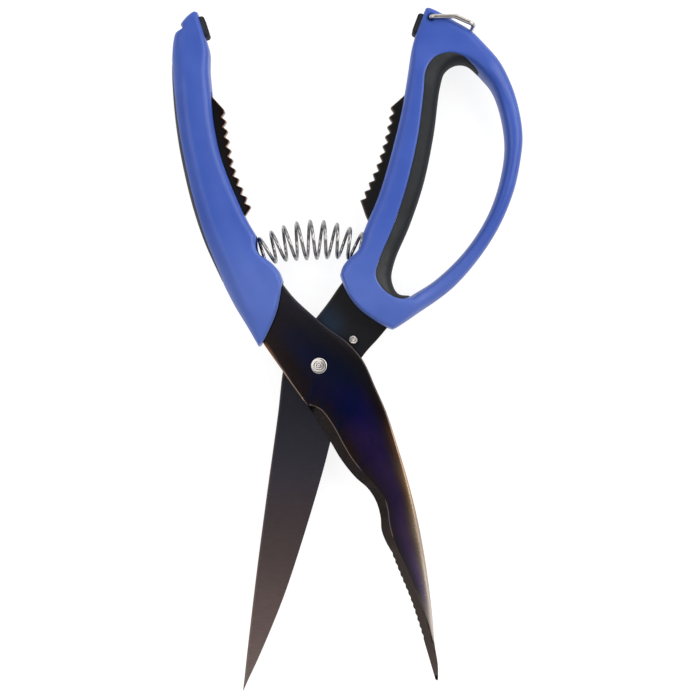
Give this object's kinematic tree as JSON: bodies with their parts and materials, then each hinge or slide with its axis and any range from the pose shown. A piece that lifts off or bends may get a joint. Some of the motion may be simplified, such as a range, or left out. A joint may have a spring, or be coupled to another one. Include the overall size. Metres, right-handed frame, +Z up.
{
  "type": "poultry shears",
  "caption": "Spring-opened poultry shears with one looped and one lever handle, a serrated notched blade, toothed nutcracker jaws and a wire bail that latches the handles shut.",
  "frame": {"origin": "centre of the underside of the open shears' box, as they lie flat on their side", "axes": "+Z up, along the pivot; +Y along the shears from the blades to the handles; +X towards the loop handle"},
  "size_m": [0.13, 0.2538, 0.0174],
  "materials": {
    "front_blade_steel": "dark blue-black coating, gold along the back",
    "rear_blade_steel": "satin dark brown-grey coating",
    "turned_steel": "turned",
    "blue_plastic": "satin blue polypropylene",
    "grey_rubber": "matt dark grey elastomer",
    "spring_wire": "bright spring wire",
    "bail_wire": "polished wire"
  },
  "bodies": {
    "rear_arm": {"rear_blade": "rear_blade_steel", "pivot_stud": "turned_steel", "pivot_washer": "turned_steel", "pivot_nut": "turned_steel", "stop_pin": "turned_steel", "loop_handle": "blue_plastic", "loop_grip": "grey_rubber", "loop_bumper": "grey_rubber", "return_spring": "spring_wire"},
    "front_arm": {"front_blade": "front_blade_steel", "lever_handle": "blue_plastic", "lever_grip": "grey_rubber", "lever_bumper": "grey_rubber"},
    "lock_bail": {"lock_bail": "bail_wire"}
  },
  "joints": [
    {"name": "blade_pivot", "type": "hinge", "parent": "rear_arm", "child": "front_arm", "pos_m": [-0.01045, -0.00545, 0.0087], "axis": [0, 0, -1], "range_deg": [0, 33.6], "stiffness_Nm_per_rad": 0.9, "springref_deg": -8.59, "deforming": ["return_spring"]},
    {"name": "bail_hinge", "type": "hinge", "parent": "rear_arm", "child": "lock_bail", "pos_m": [0.03075, 0.1227, 0.0087], "axis": [0, 0, 1], "range_deg": [0, 174]}
  ]
}
